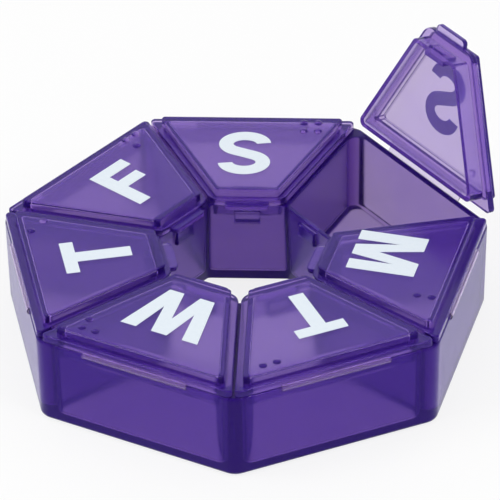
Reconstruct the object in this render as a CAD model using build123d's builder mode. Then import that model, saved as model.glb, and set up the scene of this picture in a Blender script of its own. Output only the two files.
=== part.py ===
from build123d import *
from math import asin, cos, degrees, pi, radians, sin, tan
import os

os.makedirs("parts", exist_ok=True)

# Seven-sided pill organizer. Millimetres, +Z up. The origin is the middle of the open centre, level with
# the surface that the tray stands on. One corner of the tray points along -Y and the side at +Y is flat.
# Distances from the centre to the middle of a side are apothems.

# Plan of the tray
sides = 7
rim_apothem = 62.8
base_inset = 0.6
corner_radius = 5.0
hole_rim_apothem = 22.2
hole_base_inset = 1.4
hole_corner_radius = 1.0

# Heights and walls of the tray
rim_height = 26.1
floor_thickness = 2.0
outer_wall = 2.1
inner_wall = 1.4
partition = 1.5
pocket_outer_inset = 0.3
pocket_inner_inset = 1.2
pocket_side_inset = 0.15
pocket_outer_radius = 3.0
pocket_inner_radius = 1.8
pocket_floor_radius = 1.4
foot_radius = 1.2
rim_radius = 0.8
edge_radius = 0.3

# Catch on the middle of each inner wall: a boss in the open centre with a hollow behind it
catch_width = 7.3
catch_height = 4.3
catch_depth_below_rim = 1.5
catch_projection = 0.9
catch_shell = 0.9
catch_margin = 0.4
catch_radius = 0.4

# Lid flange, which lies over the rim when the lid is shut
seat_gap = 0.1
flange_thickness = 2.2
flange_outer_inset = 0.2
flange_side_gap = 0.35
flange_overhang = 0.3
flange_outer_radius = 1.2
flange_inner_radius = 4.6
flange_top_radius = 0.5
flange_under_radius = 0.35

# Finger tab in the middle of the flange's inner end, thinner than the flange
tab_width = 12.4
tab_reach = 2.5
tab_thickness = 1.5
tab_lift = 0.1
tab_root = 1.2
tab_radius = 1.4
tab_edge_radius = 0.3

# Raised panel of the lid, and the skirt that reaches down into the compartment
panel_rise = 2.4
panel_thickness = 1.4
panel_inner_step = 1.5
panel_radius = 1.0
panel_top_radius = 0.45
lid_wall = 1.3
lid_wall_gap = 0.5
lid_side_gap = 1.6
skirt_depth = 4.5
skirt_inner_gap = 1.0
skirt_radius = 1.8
lid_hollow_radius = 0.6

# Snap bead on the outside of the skirt's inner end, and the pad that backs it on the inside
bead_height = 1.4
bead_gap = 0.25
bead_side_gap = 0.2
pad_width = 8.2
pad_height = 4.6
pad_projection = 1.5

# Living hinge: a thin film from the tray's outer wall to the edge of the flange
film_length = 32.0
film_thickness = 0.35
film_below_rim = 1.2
film_above_flange = 0.8
film_bow_shut = 0.8
film_bow_open = 0.3
hinge_outer_offset = 0.85
hinge_height_offset = 0.5

# Sunday's lid stands open by this angle, and the other six lids are shut
sunday_open_angle = 102

# Braille dots. Dot 1 is at the upper left of the cell, 2 below it, 4 to its right and 5 below that.
dot_diameter = 2.3
dot_height = 0.9
dot_spacing = 4.1
dot_right = 15.0
dot_up = 57.3

# Printed initials. Each letter's foot points at the centre of the tray, and its top at the hinge.
ink_thickness = 0.12
letter_height = 19.2
letter_stem = 4.4
letter_bar = 3.8
t_width = 14.6
f_width = 13.2
f_arm_width = 11.9
f_arm_height = 8.5
m_width = 18.4
m_foot = 4.6
m_crown = 6.1
m_notch_height = 7.2
m_fork_height = 12.4
w_width = 23.7
w_arm = 4.75
w_crown = 4.8
w_foot_gap = 5.0
w_notch_height = 11.9
w_fork_width = 9.3
w_fork_height = 7.5
s_width = 14.8
s_height = 21.3
s_stem = 4.1
s_bowl_height = 8.0
s_end_angle = 6

# The days run clockwise seen from above. Each has its side of the tray, counted anticlockwise from the
# front corner, its opening angle, its braille dots and the place of its initial: right and up the lid.
days = {
    "sunday": {"side": 2, "open": sunday_open_angle, "dots": (1,), "initial": "S", "right": -1.4, "up": 31.0},
    "monday": {"side": 1, "open": 0, "dots": (1, 2), "initial": "M", "right": -2.2, "up": 31.0},
    "tuesday": {"side": 0, "open": 0, "dots": (1, 4), "initial": "T", "right": -2.0, "up": 31.1},
    "wednesday": {"side": 6, "open": 0, "dots": (1, 4, 5), "initial": "W", "right": -0.8, "up": 31.2},
    "thursday": {"side": 5, "open": 0, "dots": (1, 5), "initial": "T", "right": -0.1, "up": 31.6},
    "friday": {"side": 4, "open": 0, "dots": (1, 2, 4), "initial": "F", "right": 0.3, "up": 32.8},
    "saturday": {"side": 3, "open": 0, "dots": (1, 2, 4, 5), "initial": "S", "right": -1.4, "up": 31.0},
}

# Places that follow from the sizes above
half_angle = pi / sides
base_apothem = rim_apothem - base_inset
hole_base_apothem = hole_rim_apothem + hole_base_inset
pocket_apothem = rim_apothem - outer_wall
inner_wall_apothem = hole_rim_apothem + inner_wall
pocket_depth = rim_height - floor_thickness
catch_face = hole_rim_apothem - catch_projection
catch_middle = rim_height - catch_depth_below_rim - catch_height / 2

flange_bottom = rim_height + seat_gap
flange_top = flange_bottom + flange_thickness
flange_apothem = rim_apothem - flange_outer_inset
flange_inner_apothem = hole_rim_apothem - flange_overhang
tab_tip = flange_inner_apothem - tab_reach

panel_top = flange_top + panel_rise
panel_inner_apothem = flange_inner_apothem + panel_inner_step
lid_apothem = pocket_apothem - lid_wall_gap
lid_side_offset = partition / 2 + lid_side_gap
skirt_bottom = flange_bottom - skirt_depth
skirt_inner_apothem = inner_wall_apothem + skirt_inner_gap
bead_width = catch_width - 2 * catch_margin - 2 * bead_side_gap

hinge_apothem = rim_apothem + hinge_outer_offset
hinge_height = rim_height + hinge_height_offset


def lid_frame(side, opened=0):
    """Plane of a lid: x points outward, y along the side and z up, turned about the hinge by its opening."""
    angle = radians(-90 + (side + 0.5) * 360 / sides)
    swing = radians(opened)
    outward = Vector(cos(angle), sin(angle), 0)
    up = Vector(0, 0, 1)
    pivot = outward * hinge_apothem + up * hinge_height
    turned_outward = outward * cos(swing) - up * sin(swing)
    turned_up = up * cos(swing) + outward * sin(swing)
    origin = pivot - turned_outward * hinge_apothem - turned_up * hinge_height
    return Plane(origin=origin, x_dir=turned_outward, z_dir=turned_up)


def section_plane(frame):
    """Upright plane through the middle of a side: x points outward and y up."""
    return Plane(origin=frame.origin, x_dir=frame.x_dir, z_dir=-frame.y_dir)


def outer_face(height):
    """Apothem of the tray's outer wall at this height."""
    return base_apothem + base_inset * height / rim_height


def inner_pocket_face(height):
    """Apothem of the compartment's inner wall at this height."""
    return inner_wall_apothem + pocket_inner_inset * (rim_height - height) / pocket_depth


def heptagon(apothem, radius):
    """Rounded regular outline in the sketch being drawn, with a corner at -Y."""
    RegularPolygon(radius=apothem / cos(half_angle), side_count=sides, rotation=-90)
    fillet(vertices(), radius)


def wedge(outer, inner, offset, outer_radius, inner_radius):
    """Rounded wedge in the sketch being drawn, between two apothems and two radial lines set in."""
    wide = outer * tan(half_angle) - offset / cos(half_angle)
    narrow = inner * tan(half_angle) - offset / cos(half_angle)
    Polygon((outer, -wide), (outer, wide), (inner, narrow), (inner, -narrow), align=None)
    fillet(vertices().group_by(Axis.X)[-1], outer_radius)
    fillet(vertices().group_by(Axis.X)[0], inner_radius)


def make_tray():
    """The tray: a drafted seven-sided block with an open centre, seven compartments and their catches."""
    with BuildPart() as tray:
        with BuildSketch(Plane.XY):
            heptagon(base_apothem, corner_radius)
        with BuildSketch(Plane.XY.offset(rim_height)):
            heptagon(rim_apothem, corner_radius)
        loft(ruled=True)
        foot = tray.faces().sort_by(Axis.Z)[0].edges()
        rim = tray.faces().sort_by(Axis.Z)[-1].edges()
        fillet(foot, foot_radius)
        fillet(rim, rim_radius)

        with BuildSketch(Plane.XY):
            heptagon(hole_base_apothem, hole_corner_radius)
        with BuildSketch(Plane.XY.offset(rim_height)):
            heptagon(hole_rim_apothem, hole_corner_radius)
        loft(ruled=True, mode=Mode.SUBTRACT)

        for side in range(sides):
            frame = lid_frame(side)
            section = section_plane(frame)

            with BuildSketch(frame.offset(floor_thickness)):
                wedge(
                    pocket_apothem - pocket_outer_inset,
                    inner_wall_apothem + pocket_inner_inset,
                    partition / 2 + pocket_side_inset,
                    pocket_outer_radius,
                    pocket_inner_radius,
                )
            with BuildSketch(frame.offset(rim_height)):
                wedge(
                    pocket_apothem,
                    inner_wall_apothem,
                    partition / 2,
                    pocket_outer_radius,
                    pocket_inner_radius,
                )
            loft(ruled=True, mode=Mode.SUBTRACT)
            floor_edges = tray.edges(Select.LAST).group_by(Axis.Z)[0]
            fillet(floor_edges, pocket_floor_radius)

            # Boss in the open centre, then the hollow behind it
            with BuildSketch(section):
                with Locations((catch_face, catch_middle)):
                    Rectangle(catch_shell + inner_wall / 2, catch_height, align=(Align.MIN, Align.CENTER))
            extrude(amount=catch_width / 2, both=True)
            boss_face = tray.faces(Select.LAST).sort_by(Axis(frame.origin, frame.x_dir))[0]
            fillet(boss_face.edges(), catch_radius)
            with BuildSketch(section):
                with Locations((catch_face + catch_shell, catch_middle)):
                    Rectangle(
                        inner_wall + pocket_inner_inset,
                        catch_height - 2 * catch_margin,
                        align=(Align.MIN, Align.CENTER),
                    )
            extrude(amount=catch_width / 2 - catch_margin, both=True, mode=Mode.SUBTRACT)

        top = tray.faces().filter_by(Axis.Z).sort_by(Axis.Z)[-1]
        fillet(top.inner_wires().edges(), edge_radius)
        bottom = tray.faces().filter_by(Axis.Z).sort_by(Axis.Z)[0]
        fillet(bottom.inner_wires().edges(), edge_radius)

    tray.part.label = "tray"
    export_step(tray.part, "parts/tray.step")


def make_lid(day, side, opened, dots):
    """One lid: flange and tab, raised panel, hollow skirt, snap bead and braille dots."""
    frame = lid_frame(side, opened)
    section = section_plane(frame)
    upward = Axis(frame.origin, frame.z_dir)
    with BuildPart() as lid:
        with BuildSketch(frame.offset(flange_bottom)):
            wedge(
                flange_apothem,
                flange_inner_apothem,
                flange_side_gap,
                flange_outer_radius,
                flange_inner_radius,
            )
        extrude(amount=flange_thickness)
        fillet(lid.faces().sort_by(upward)[-1].edges(), flange_top_radius)
        fillet(lid.faces().sort_by(upward)[0].edges(), flange_under_radius)

        with BuildPart(mode=Mode.PRIVATE) as tab:
            with BuildSketch(frame.offset(flange_bottom + tab_lift)):
                with Locations((tab_tip, 0)):
                    Rectangle(tab_reach + tab_root, tab_width, align=(Align.MIN, Align.CENTER))
                fillet(vertices().group_by(Axis.X)[0], tab_radius)
            extrude(amount=tab_thickness)
            fillet(tab.faces().sort_by(upward)[-1].edges(), tab_edge_radius)
            fillet(tab.faces().sort_by(upward)[0].edges(), tab_edge_radius)
        add(tab.part)

        with BuildSketch(frame.offset(flange_top)):
            wedge(lid_apothem, panel_inner_apothem, lid_side_offset, panel_radius, panel_radius)
        extrude(amount=panel_rise)
        fillet(lid.faces().sort_by(upward)[-1].edges(), panel_top_radius)

        with BuildSketch(frame.offset(flange_bottom)):
            wedge(lid_apothem, skirt_inner_apothem, lid_side_offset, skirt_radius, skirt_radius)
        extrude(amount=-skirt_depth)

        with BuildSketch(frame.offset(skirt_bottom)):
            wedge(
                lid_apothem - lid_wall,
                skirt_inner_apothem + lid_wall,
                lid_side_offset + lid_wall,
                panel_radius,
                panel_radius,
            )
        extrude(amount=panel_top - panel_thickness - skirt_bottom, mode=Mode.SUBTRACT)
        fillet(lid.edges(Select.LAST).group_by(upward)[-1], lid_hollow_radius)

        with BuildSketch(frame.offset(skirt_bottom)):
            with Locations((skirt_inner_apothem + lid_wall / 2, 0)):
                Rectangle(lid_wall / 2 + pad_projection, pad_width, align=(Align.MIN, Align.CENTER))
        extrude(amount=pad_height)

        bead_low = catch_middle - bead_height / 2
        bead_high = catch_middle + bead_height / 2
        bead_tip = inner_pocket_face(catch_middle) + bead_gap
        bead_root = skirt_inner_apothem + lid_wall / 2
        with BuildSketch(section):
            with BuildLine():
                ThreePointArc(
                    (skirt_inner_apothem, bead_low),
                    (bead_tip, catch_middle),
                    (skirt_inner_apothem, bead_high),
                )
                Polyline(
                    (skirt_inner_apothem, bead_high),
                    (bead_root, bead_high),
                    (bead_root, bead_low),
                    (skirt_inner_apothem, bead_low),
                )
            make_face()
        extrude(amount=bead_width / 2, both=True)

        for dot in dots:
            right = dot_right + (dot_spacing if dot in (4, 5) else 0)
            up = dot_up - (dot_spacing if dot in (2, 5) else 0)
            middle = frame.from_local_coords(Vector(up, -right, panel_top))
            with BuildSketch(Plane(origin=middle, x_dir=frame.x_dir, z_dir=-frame.y_dir)):
                with BuildLine():
                    TangentArc((0, dot_height), (dot_diameter / 2, 0), tangent=(1, 0))
                    Polyline(
                        (dot_diameter / 2, 0),
                        (dot_diameter / 2, -panel_thickness / 2),
                        (0, -panel_thickness / 2),
                        (0, dot_height),
                    )
                make_face()
            revolve(axis=Axis(middle, frame.z_dir))

    lid.part.label = f"lid_{day}"
    export_step(lid.part, f"parts/lid_{day}.step")


def turned_about_hinge(apothem, height, opened):
    """Where a point of a shut lid's section goes when the lid opens: apothem and height."""
    swing = radians(opened)
    out = apothem - hinge_apothem
    rise = height - hinge_height
    new_apothem = hinge_apothem + out * cos(swing) + rise * sin(swing)
    new_height = hinge_height - out * sin(swing) + rise * cos(swing)
    return Vector(new_apothem, new_height)


def make_hinge(day, side, opened):
    """The film of one lid, bowed outward between the tray's outer wall and the edge of the flange."""
    tray_low = rim_height - film_below_rim
    tray_high = tray_low + film_thickness
    lid_high = flange_bottom + film_above_flange
    lid_low = lid_high - film_thickness
    bow = film_bow_open if opened else film_bow_shut

    tray_outer = Vector(outer_face(tray_low), tray_low)
    tray_inner = Vector(outer_face(tray_high), tray_high)
    lid_outer = turned_about_hinge(flange_apothem, lid_high, opened)
    lid_inner = turned_about_hinge(flange_apothem, lid_low, opened)
    chord = lid_outer - tray_outer
    outward = Vector(chord.Y, -chord.X).normalized()
    outer_middle = (tray_outer + lid_outer) / 2 + outward * bow
    inner_middle = outer_middle - outward * film_thickness

    with BuildPart() as hinge:
        with BuildSketch(section_plane(lid_frame(side))):
            with BuildLine():
                ThreePointArc(tray_outer, outer_middle, lid_outer)
                Line(lid_outer, lid_inner)
                ThreePointArc(lid_inner, inner_middle, tray_inner)
                Line(tray_inner, tray_outer)
            make_face()
        extrude(amount=film_length / 2, both=True)

    hinge.part.label = f"hinge_{day}"
    export_step(hinge.part, f"parts/hinge_{day}.step")


def mirrored(right_half):
    """The left half of an outline, in the order that carries on from its right half."""
    return [(-x, y) for x, y in reversed(right_half)]


def draw_t():
    half_bar = t_width / 2
    half_stem = letter_stem / 2
    right_half = [
        (half_stem, 0),
        (half_stem, letter_height - letter_bar),
        (half_bar, letter_height - letter_bar),
        (half_bar, letter_height),
    ]
    Polygon(*right_half, *mirrored(right_half), align=None)


def draw_f():
    left = -f_width / 2
    Polygon(
        (left, 0),
        (left + letter_stem, 0),
        (left + letter_stem, f_arm_height),
        (left + f_arm_width, f_arm_height),
        (left + f_arm_width, f_arm_height + letter_bar),
        (left + letter_stem, f_arm_height + letter_bar),
        (left + letter_stem, letter_height - letter_bar),
        (left + f_width, letter_height - letter_bar),
        (left + f_width, letter_height),
        (left, letter_height),
        align=None,
    )


def draw_m():
    half = m_width / 2
    right_half = [
        (m_foot / 2, 0),
        (half - letter_stem, m_fork_height),
        (half - letter_stem, 0),
        (half, 0),
        (half, letter_height),
        (m_crown / 2, letter_height),
    ]
    Polygon(*right_half, (0, m_notch_height), *mirrored(right_half), align=None)


def draw_w():
    half = w_width / 2
    right_half = [
        (w_foot_gap / 2, 0),
        (w_foot_gap / 2 + letter_stem, 0),
        (half, letter_height),
        (half - w_arm, letter_height),
        (w_fork_width / 2, w_fork_height),
        (w_crown / 2, letter_height),
    ]
    Polygon(*right_half, *mirrored(right_half), (0, w_notch_height), align=None)


def draw_s():
    """Two oval bowls joined by a sloping spine that is tangent to both, drawn as one even stroke."""
    reach = (s_width - s_stem) / 2
    top = s_height - s_stem / 2
    foot = s_stem / 2
    bowl = s_bowl_height / 2
    apart = (top - foot) / 2 - bowl
    meeting_angle = degrees(asin(bowl / apart))
    sweep = 180 + meeting_angle - s_end_angle
    with BuildLine() as stroke:
        upper = EllipticalCenterArc((0, top - bowl), reach, bowl, start_angle=s_end_angle, arc_size=sweep)
        lower = EllipticalCenterArc((0, foot + bowl), reach, bowl, start_angle=meeting_angle, arc_size=-sweep)
        Line(upper @ 1, lower @ 0)
    trace(stroke.edges(), line_width=s_stem)


draw_initial = {"S": draw_s, "M": draw_m, "T": draw_t, "W": draw_w, "F": draw_f}


def make_letter(day, side, opened, initial, right, up):
    """The printed initial: a layer of ink on the raised panel, its x to the letter's right and y up it."""
    frame = lid_frame(side, opened)
    panel = frame.offset(panel_top)
    place = panel.from_local_coords(Vector(up, -right, 0))
    with BuildPart() as letter:
        with BuildSketch(Plane(origin=place, x_dir=-frame.y_dir, z_dir=frame.z_dir)):
            draw_initial[initial]()
        extrude(amount=ink_thickness)

    letter.part.label = f"letter_{day}"
    export_step(letter.part, f"parts/letter_{day}.step")


make_tray()
for day, facts in days.items():
    side = facts["side"]
    opened = facts["open"]
    make_lid(day, side, opened, facts["dots"])
    make_hinge(day, side, opened)
    make_letter(day, side, opened, facts["initial"], facts["right"], facts["up"])
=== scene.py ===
from math import cos, exp, pi, radians, sin

import bmesh
import bpy
from mathutils import Matrix, Vector


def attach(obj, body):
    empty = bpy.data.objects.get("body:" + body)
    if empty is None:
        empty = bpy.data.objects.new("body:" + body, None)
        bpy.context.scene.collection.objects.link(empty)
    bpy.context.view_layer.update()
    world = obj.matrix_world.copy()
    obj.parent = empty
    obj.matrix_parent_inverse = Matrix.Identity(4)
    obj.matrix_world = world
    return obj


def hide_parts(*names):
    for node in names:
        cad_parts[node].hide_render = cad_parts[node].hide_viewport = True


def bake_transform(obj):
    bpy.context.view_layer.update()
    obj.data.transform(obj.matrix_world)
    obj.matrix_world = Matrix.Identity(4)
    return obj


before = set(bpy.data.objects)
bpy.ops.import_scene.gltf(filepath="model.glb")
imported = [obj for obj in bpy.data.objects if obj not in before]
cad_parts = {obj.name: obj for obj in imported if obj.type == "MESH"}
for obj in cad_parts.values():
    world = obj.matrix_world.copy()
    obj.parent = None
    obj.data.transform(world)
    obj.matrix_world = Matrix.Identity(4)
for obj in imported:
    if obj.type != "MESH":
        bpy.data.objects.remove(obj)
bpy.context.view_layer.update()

# The tray: one seven-sided shell of tinted polypropylene, injection moulded with its floor, its seven
# compartments and the open middle. Its walls are about 2 mm thick and glossy, and it looks darker
# wherever light has further to go through the plastic.
tray_tint = (0.86, 0.80, 0.98)
tray_flow_tint = (0.91, 0.86, 0.99)
tray_cloud = (0.10, 0.02, 0.70)
tray_dye = (0.32, 0.060, 0.57)
polypropylene_ior = 1.49
mirror_tint = (0.25, 0.12, 0.70)
gloss_roughness = 0.03
flow_mark_scale = 55.0
flow_mark_bend = 1.2
haze_scale = 210.0
haze_variation = 0.15
ripple_scale = 70.0
ripple_strength = 0.03
ripple_height = 0.0002


def noise(tree, place, scale, detail, bend=0.0):
    """Noise from 0 to 1 that is fixed to the piece."""
    texture = tree.nodes.new("ShaderNodeTexNoise")
    texture.inputs["Scale"].default_value = scale
    texture.inputs["Detail"].default_value = detail
    texture.inputs["Distortion"].default_value = bend
    tree.links.new(place.outputs["Object"], texture.inputs["Vector"])
    return texture.outputs["Fac"]


def spread(tree, value, start=0.0, stop=1.0, low=0.0, high=1.0):
    """The value from start to stop, spread from low to high."""
    mapped = tree.nodes.new("ShaderNodeMapRange")
    mapped.inputs["From Min"].default_value = start
    mapped.inputs["From Max"].default_value = stop
    mapped.inputs["To Min"].default_value = low
    mapped.inputs["To Max"].default_value = high
    tree.links.new(value, mapped.inputs["Value"])
    return mapped.outputs["Result"]


def between(tree, share, first, second):
    """The first colour where the share is 0, and the second where it is 1."""
    mixed = tree.nodes.new("ShaderNodeMix")
    mixed.data_type = "RGBA"
    mixed.inputs["A"].default_value = (*first, 1)
    mixed.inputs["B"].default_value = (*second, 1)
    tree.links.new(share, mixed.inputs["Factor"])
    return mixed.outputs["Result"]


def raise_surface(tree, skin, relief, strength, height):
    """Raises and lowers the skin's surface by the relief."""
    bump = tree.nodes.new("ShaderNodeBump")
    bump.inputs["Strength"].default_value = strength
    bump.inputs["Distance"].default_value = height
    tree.links.new(relief, bump.inputs["Height"])
    tree.links.new(bump.outputs["Normal"], skin.inputs["Normal"])


def tinted_polypropylene(name, tint, flow_tint, cloud, cloud_share, blur, gloss, dye, dye_density):
    """Clear plastic that blurs what is behind it, with flow marks from the mould, a faint ripple and a
    dye all through it. A share of violet cloud colours thick edges, where light would die out."""
    plastic = bpy.data.materials.new(name)
    plastic.use_nodes = True
    tree = plastic.node_tree
    skin = tree.nodes["Principled BSDF"]
    surface = tree.nodes["Material Output"]
    place = tree.nodes.new("ShaderNodeTexCoord")

    flow = noise(tree, place, flow_mark_scale, detail=3.0, bend=flow_mark_bend)
    flow_marks = spread(tree, flow, start=0.35, stop=0.70)
    tree.links.new(between(tree, flow_marks, tint, flow_tint), skin.inputs["Base Color"])

    polish = noise(tree, place, haze_scale, detail=4.0)
    least_blur = blur * (1 - haze_variation)
    most_blur = blur * (1 + haze_variation)
    haze = spread(tree, polish, start=0.3, stop=0.7, low=least_blur, high=most_blur)
    tree.links.new(haze, skin.inputs["Roughness"])

    ripple = noise(tree, place, ripple_scale, detail=2.0)
    raise_surface(tree, skin, ripple, ripple_strength, ripple_height)

    skin.inputs["Transmission Weight"].default_value = 1.0
    skin.inputs["IOR"].default_value = polypropylene_ior
    skin.inputs["Specular Tint"].default_value = (*mirror_tint, 1)
    skin.inputs["Coat Weight"].default_value = gloss
    skin.inputs["Coat Roughness"].default_value = gloss_roughness
    skin.inputs["Coat IOR"].default_value = polypropylene_ior

    body = tree.nodes.new("ShaderNodeBsdfDiffuse")
    body.inputs["Color"].default_value = (*cloud, 1)
    clouded = tree.nodes.new("ShaderNodeMixShader")
    clouded.inputs["Fac"].default_value = cloud_share
    tree.links.new(skin.outputs["BSDF"], clouded.inputs[1])
    tree.links.new(body.outputs["BSDF"], clouded.inputs[2])
    tree.links.new(clouded.outputs["Shader"], surface.inputs["Surface"])

    depth = tree.nodes.new("ShaderNodeVolumeAbsorption")
    depth.inputs["Color"].default_value = (*dye, 1)
    depth.inputs["Density"].default_value = dye_density
    tree.links.new(depth.outputs["Volume"], surface.inputs["Volume"])
    return plastic


def finish_with(piece, material):
    """Gives the piece this one material in every slot it has."""
    if not piece.data.materials:
        piece.data.materials.append(material)
    for index in range(len(piece.data.materials)):
        piece.data.materials[index] = material


tray_plastic = tinted_polypropylene(
    "tray_polypropylene", tray_tint, tray_flow_tint, tray_cloud,
    cloud_share=0.17, blur=0.19, gloss=0.08, dye=tray_dye, dye_density=435.0
)
finish_with(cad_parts["tray"], tray_plastic)

# The seven lids: the same polypropylene, moulded with the tray and thinner. Each has a raised panel
# 1.4 mm thick, a flange, a finger tab over the open middle, a hollow skirt and raised braille dots.
lid_tint = (0.92, 0.87, 0.98)
lid_flow_tint = (0.96, 0.92, 0.99)
lid_cloud = (0.14, 0.04, 0.78)
lid_dye = (0.36, 0.065, 0.68)
days = ["sunday", "monday", "tuesday", "wednesday", "thursday", "friday", "saturday"]

lid_plastic = tinted_polypropylene(
    "lid_polypropylene", lid_tint, lid_flow_tint, lid_cloud,
    cloud_share=0.12, blur=0.17, gloss=0.20, dye=lid_dye, dye_density=280.0
)
for day in days:
    finish_with(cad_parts[f"lid_{day}"], lid_plastic)

# The living hinges: a film of the same plastic, 0.35 mm thick and 32 mm long, joins each lid's flange
# to the tray's outer wall and bows out when the lid is shut. Bending has paled it. It has fine upright
# ribs, two creases along it and a bead at each joined edge.
film_length = 0.0320
film_thickness = 0.00035
film_tray_edge = (0.06277, 0.02490)
film_lid_edge = (0.06260, 0.02700)
hinge_axis = (0.06365, 0.02660)
bow_shut = 0.0008
bow_open = 0.0003
bow_steps = 20
rib_pitch = 0.0010
rib_depth = 0.00012
columns_per_rib = 4
crease_places = (0.30, 0.72)
crease_depth = 0.00012
bead_places = (0.07, 0.93)
bead_height = 0.00022
line_width = 0.05
edge_fade = 10
film_tint = (0.90, 0.87, 0.97)
film_flow_tint = (0.95, 0.93, 0.98)
film_cloud = (0.62, 0.36, 0.90)
film_dye = (0.38, 0.14, 0.68)
side_of_day = {
    "sunday": 2, "monday": 1, "tuesday": 0, "wednesday": 6, "thursday": 5, "friday": 4, "saturday": 3
}
open_angle = {"sunday": 102}


def outward_from(day):
    """Level direction from the centre to the middle of the day's side."""
    angle = radians(-90 + (side_of_day[day] + 0.5) * 360 / len(days))
    return Vector((cos(angle), sin(angle), 0))


def film_section(opened):
    """Outer and inner outline of the bowed film from the tray's edge to the lid's. Each point is a
    distance out from the centre and a height."""
    swing = radians(opened)
    out = film_lid_edge[0] - hinge_axis[0]
    rise = film_lid_edge[1] - hinge_axis[1]
    lid_edge = Vector(
        (
            hinge_axis[0] + out * cos(swing) + rise * sin(swing),
            hinge_axis[1] - out * sin(swing) + rise * cos(swing),
        )
    )
    tray_edge = Vector(film_tray_edge)
    chord = lid_edge - tray_edge
    outward = Vector((chord.y, -chord.x)).normalized()
    bow = bow_open if opened else bow_shut
    outer = []
    inner = []
    for step in range(bow_steps + 1):
        share = step / bow_steps
        bulge = bow * 4 * share * (1 - share)
        point = tray_edge + chord * share + outward * bulge
        outer.append(point)
        inner.append(point - outward * film_thickness)
    return outer, inner, tray_edge, lid_edge


def lines_at(share, places, size):
    """Height of rounded lines of this size that run along the film at these shares of its width."""
    return sum(size * exp(-(((share - place) / line_width) ** 2)) for place in places)


def hinge_film(day):
    """Ribbed film of one day's hinge, with the points where it leaves the tray and reaches the lid."""
    outward = outward_from(day)
    along = Vector((-outward.y, outward.x, 0))
    outer, inner, tray_edge, lid_edge = film_section(open_angle.get(day, 0))
    columns = int(film_length / rib_pitch) * columns_per_rib
    vertices = []
    for column in range(columns + 1):
        across = -film_length / 2 + film_length * column / columns
        groove = rib_depth * (0.5 - 0.5 * cos(2 * pi * across / rib_pitch))
        for row, point in enumerate(outer):
            share = row / bow_steps
            crease = lines_at(share, crease_places, crease_depth)
            bead = lines_at(share, bead_places, bead_height)
            depth = (groove + crease - bead) * min(1, edge_fade * share, edge_fade * (1 - share))
            spot = point + (inner[row] - point) * (depth / film_thickness)
            vertices.append(outward * spot.x + along * across + Vector((0, 0, spot.y)))
        for point in reversed(inner):
            vertices.append(outward * point.x + along * across + Vector((0, 0, point.y)))
    ring = 2 * len(outer)
    faces = []
    for column in range(columns):
        for step in range(ring):
            a = column * ring + step
            b = column * ring + (step + 1) % ring
            faces.append((a, b, b + ring, a + ring))
    faces.append(tuple(range(ring))[::-1])
    faces.append(tuple(columns * ring + step for step in range(ring)))
    mesh = bpy.data.meshes.new(f"film_{day}")
    mesh.from_pydata([tuple(vertex) for vertex in vertices], [], faces)
    shell = bmesh.new()
    shell.from_mesh(mesh)
    bmesh.ops.recalc_face_normals(shell, faces=shell.faces)
    shell.to_mesh(mesh)
    shell.free()
    film = bpy.data.objects.new(f"film_{day}", mesh)
    bpy.context.scene.collection.objects.link(film)
    for face in mesh.polygons:
        face.use_smooth = len(face.vertices) == 4
    start = outward * tray_edge.x + Vector((0, 0, tray_edge.y))
    end = outward * lid_edge.x + Vector((0, 0, lid_edge.y))
    return film, start, end


film_plastic = tinted_polypropylene(
    "film_polypropylene", film_tint, film_flow_tint, film_cloud,
    cloud_share=0.10, blur=0.10, gloss=0.25, dye=film_dye, dye_density=480.0
)
for day in days:
    film, start, end = hinge_film(day)
    film.data.materials.append(film_plastic)
    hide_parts(f"hinge_{day}")
    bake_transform(film)

# The initials: white ink pad-printed on each raised panel, 0.12 mm thick, matt and slightly uneven.
# The print lies a hair clear of the panel, so that its underside shows cleanly from behind.
ink_lift = 0.00002
ink_thin = (0.74, 0.82, 0.90)
ink_full = (0.82, 0.89, 0.95)
ink_roughness = 0.45
ink_grain_scale = 900.0
ink_grain_strength = 0.15
ink_grain_height = 0.0001

ink = bpy.data.materials.new("white_print")
ink.use_nodes = True
ink_tree = ink.node_tree
ink_skin = ink_tree.nodes["Principled BSDF"]
ink_place = ink_tree.nodes.new("ShaderNodeTexCoord")
ink_grain = noise(ink_tree, ink_place, ink_grain_scale, detail=5.0)
ink_tree.links.new(between(ink_tree, ink_grain, ink_thin, ink_full), ink_skin.inputs["Base Color"])
raise_surface(ink_tree, ink_skin, ink_grain, ink_grain_strength, ink_grain_height)
ink_skin.inputs["Roughness"].default_value = ink_roughness
for day in days:
    swing = radians(open_angle.get(day, 0))
    panel_normal = Vector((0, 0, cos(swing))) + outward_from(day) * sin(swing)
    print_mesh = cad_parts[f"letter_{day}"].data.copy()
    print_mesh.transform(Matrix.Translation(panel_normal * ink_lift))
    initial = bpy.data.objects.new(f"initial_{day}", print_mesh)
    bpy.context.scene.collection.objects.link(initial)
    finish_with(initial, ink)
    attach(initial, f"lid_{day}")
    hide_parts(f"letter_{day}")

# The table: a plain pale sheet under the organizer, with nothing behind it. It reads as white to the
# eye and through the plastic, and still takes the organizer's shadow.
floor_half = 3.0
floor_level = -0.0002
floor_corners = [(-1, -1), (1, -1), (1, 1), (-1, 1)]
paper_colour = (0.97, 0.97, 0.97)
paper_roughness = 0.9
white_in_sight = 0.80
white_through_plastic = 0.48

floor_mesh = bpy.data.meshes.new("table_top")
floor_mesh.from_pydata(
    [(x * floor_half, y * floor_half, floor_level) for x, y in floor_corners], [], [(0, 1, 2, 3)]
)
floor = bpy.data.objects.new("table_top", floor_mesh)
bpy.context.scene.collection.objects.link(floor)


def share_for(tree, light_path, ray, share):
    """This share for rays of one kind, and 0 for all others."""
    part = tree.nodes.new("ShaderNodeMath")
    part.operation = "MULTIPLY"
    part.inputs[1].default_value = share
    tree.links.new(light_path.outputs[ray], part.inputs[0])
    return part.outputs["Value"]


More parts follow.
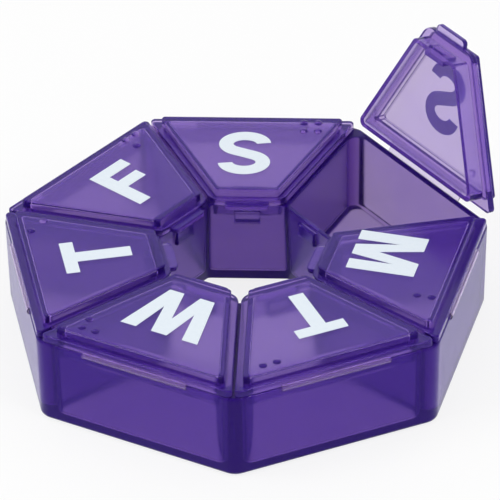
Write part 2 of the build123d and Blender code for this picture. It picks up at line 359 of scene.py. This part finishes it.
def greater_of(tree, first, second):
    """The greater of two values."""
    greater = tree.nodes.new("ShaderNodeMath")
    greater.operation = "MAXIMUM"
    tree.links.new(first, greater.inputs[0])
    tree.links.new(second, greater.inputs[1])
    return greater.outputs["Value"]


def seen_share(tree, in_sight, through_plastic):
    """How far a surface shows as plain white: in sight or by reflection, and through the plastic."""
    light_path = tree.nodes.new("ShaderNodeLightPath")
    straight = share_for(tree, light_path, "Is Camera Ray", in_sight)
    mirrored = share_for(tree, light_path, "Is Glossy Ray", in_sight)
    through = share_for(tree, light_path, "Is Transmission Ray", through_plastic)
    return greater_of(tree, greater_of(tree, straight, mirrored), through)


paper = bpy.data.materials.new("table_paper")
paper.use_nodes = True
paper_tree = paper.node_tree
paper_skin = paper_tree.nodes["Principled BSDF"]
paper_skin.inputs["Base Color"].default_value = (*paper_colour, 1)
paper_skin.inputs["Roughness"].default_value = paper_roughness
paper_white = paper_tree.nodes.new("ShaderNodeEmission")
paper_mix = paper_tree.nodes.new("ShaderNodeMixShader")
paper_share = seen_share(paper_tree, white_in_sight, white_through_plastic)
paper_tree.links.new(paper_share, paper_mix.inputs["Fac"])
paper_tree.links.new(paper_skin.outputs["BSDF"], paper_mix.inputs[1])
paper_tree.links.new(paper_white.outputs["Emission"], paper_mix.inputs[2])
paper_tree.links.new(paper_mix.outputs["Shader"], paper_tree.nodes["Material Output"].inputs["Surface"])
floor.data.materials.append(paper)

# The light: an even white surround, with a broad soft lamp high on the left and a smaller, weaker one
# on the right. The surround shows as full white, and lights the organizer a little less.
surround_light = 0.72
lamp_target = Vector((0, 0, 0.02))

surround = bpy.data.worlds.new("surround")
bpy.context.scene.world = surround
surround.use_nodes = True
sky_tree = surround.node_tree
sky = sky_tree.nodes["Background"]
sky.inputs["Color"].default_value = (1, 1, 1, 1)
sky_level = spread(sky_tree, seen_share(sky_tree, 1.0, 1.0), low=surround_light, high=1.0)
sky_tree.links.new(sky_level, sky.inputs["Strength"])


def soft_lamp(name, place, width, watts):
    """Square soft box aimed at the organizer."""
    lamp = bpy.data.lights.new(name, "AREA")
    lamp.shape = "SQUARE"
    lamp.size = width
    lamp.energy = watts
    holder = bpy.data.objects.new(name, lamp)
    holder.location = place
    holder.rotation_euler = (lamp_target - Vector(place)).to_track_quat("-Z", "Y").to_euler()
    bpy.context.scene.collection.objects.link(holder)


soft_lamp("lamp_left", (-0.75, -0.25, 0.85), width=0.6, watts=3.4)
soft_lamp("lamp_right", (0.62, -0.48, 0.80), width=0.3, watts=1.8)

# The camera: a long lens about 1.5 m away and 35 degrees above the table, level but for a slight roll.
# Its place, aim and roll were fitted to the corners of the organizer in the photograph.
eye = Vector((0.0627, -1.2582, 0.9115))
looked_at = Vector((0.00174, 0.00009, 0.0265))
roll = radians(-0.89)
lens = bpy.data.cameras.new("camera")
lens.sensor_width = 36
lens.lens = 399
camera = bpy.data.objects.new("camera", lens)
camera.matrix_world = (
    Matrix.Translation(eye)
    @ (looked_at - eye).to_track_quat("-Z", "Y").to_matrix().to_4x4()
    @ Matrix.Rotation(roll, 4, "Z")
)
bpy.context.scene.collection.objects.link(camera)
bpy.context.scene.camera = camera
bpy.context.scene.view_settings.view_transform = "Standard"
